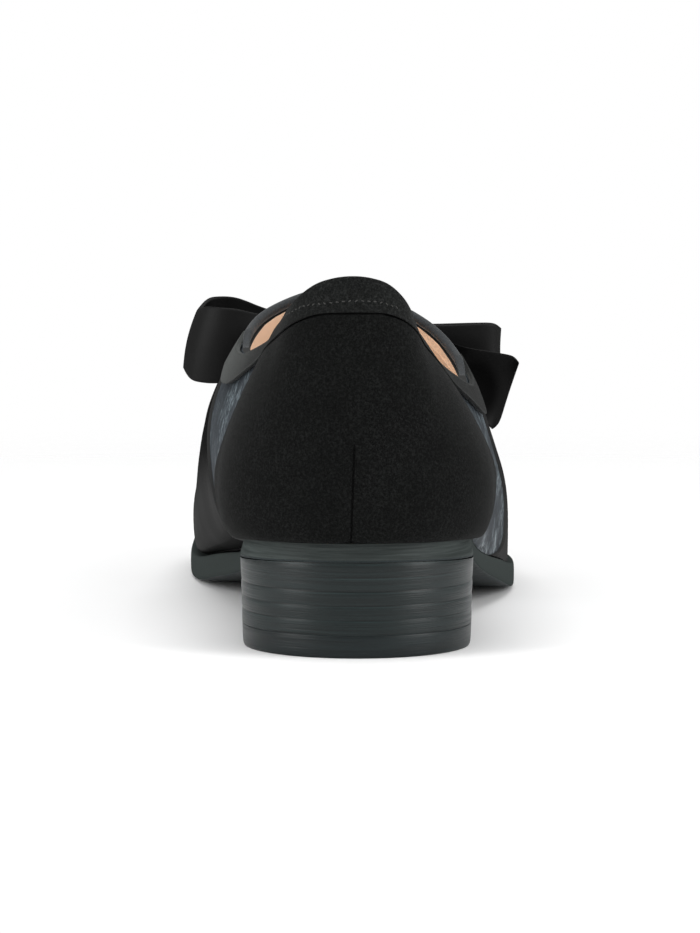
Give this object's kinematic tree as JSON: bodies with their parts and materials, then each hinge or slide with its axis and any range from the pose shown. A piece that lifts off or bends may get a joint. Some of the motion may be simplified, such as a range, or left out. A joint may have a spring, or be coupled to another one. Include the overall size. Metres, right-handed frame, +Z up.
{
  "type": "bow loafer",
  "caption": "Right slip-on loafer with a hollow upper, suede heel counter, low stacked heel, thin sole and a satin ribbon bow on the vamp.",
  "frame": {"origin": "on the floor, under the middle of the shoe's bounding box", "axes": "+Z up from the floor, -Y towards the toe, +X towards the medial (big toe) side"},
  "size_m": [0.0914, 0.2621, 0.0926],
  "materials": {
    "outsole": "satin",
    "heel_block": "stacked lift grain, satin",
    "heel_top_piece": "matt",
    "insole": "matt",
    "upper": "satin",
    "heel_counter": "suede",
    "collar_band": "suede",
    "throat_binding": "satin",
    "bow_knot": "satin",
    "bow_loop_medial": "satin",
    "bow_loop_lateral": "satin",
    "bow_tail_medial": "satin",
    "bow_tail_lateral": "satin"
  },
  "bodies": {
    "root": {"outsole": "outsole", "heel_block": "heel_block", "heel_top_piece": "heel_top_piece", "insole": "insole", "upper": "upper", "heel_counter": "heel_counter", "collar_band": "collar_band", "throat_binding": "throat_binding", "bow_knot": "bow_knot", "bow_loop_medial": "bow_loop_medial", "bow_loop_lateral": "bow_loop_lateral", "bow_tail_medial": "bow_tail_medial", "bow_tail_lateral": "bow_tail_lateral"}
  },
  "joints": []
}
